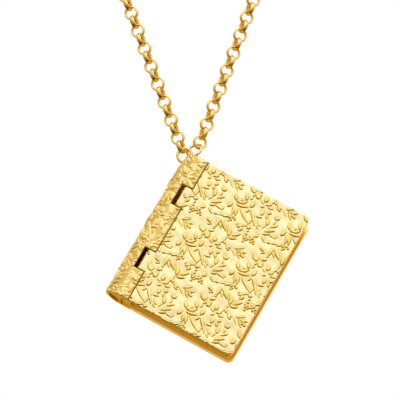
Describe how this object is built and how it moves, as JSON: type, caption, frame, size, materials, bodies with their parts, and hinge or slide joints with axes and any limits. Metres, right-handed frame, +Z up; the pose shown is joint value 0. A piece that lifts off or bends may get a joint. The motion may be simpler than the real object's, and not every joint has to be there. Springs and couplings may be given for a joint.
{
  "type": "book locket necklace",
  "caption": "Book-shaped locket with a raised floral front cover on a hinge, hung by its spine from a rolo chain necklace",
  "frame": {"origin": "middle of the chain's centre line at the top of the loop, where it would rest on the back of a neck", "axes": "+Z up, +X to the viewer's right with the front cover facing the viewer, +Y away from the viewer"},
  "size_m": [0.0988, 0.0072, 0.2292],
  "materials": {
    "cover_gold": "polished pale gold plate",
    "spine_gold": "polished gold plate",
    "deep_gold": "polished gold plate",
    "chain_gold": "polished gold plate"
  },
  "bodies": {
    "necklace": {"chain_left": "chain_gold", "chain_right": "chain_gold", "jump_ring_left": "chain_gold", "jump_ring_right": "chain_gold", "clasp": "chain_gold"},
    "book": {"back_shell": "spine_gold", "page_frame": "deep_gold", "hinge_pin": "spine_gold"},
    "cover": {"front_cover": "cover_gold"}
  },
  "joints": [
    {"name": "locket_swing", "type": "hinge", "parent": "necklace", "child": "book", "pos_m": [-0.00093, 0.00011, -0.18907], "axis": [1, 0, 0], "range_deg": [-30, 30]},
    {"name": "cover_hinge", "type": "hinge", "parent": "book", "child": "cover", "pos_m": [-0.00462, -0.00237, -0.2026], "axis": [-0.4924, 0, -0.8704], "range_deg": [0, 85]}
  ]
}
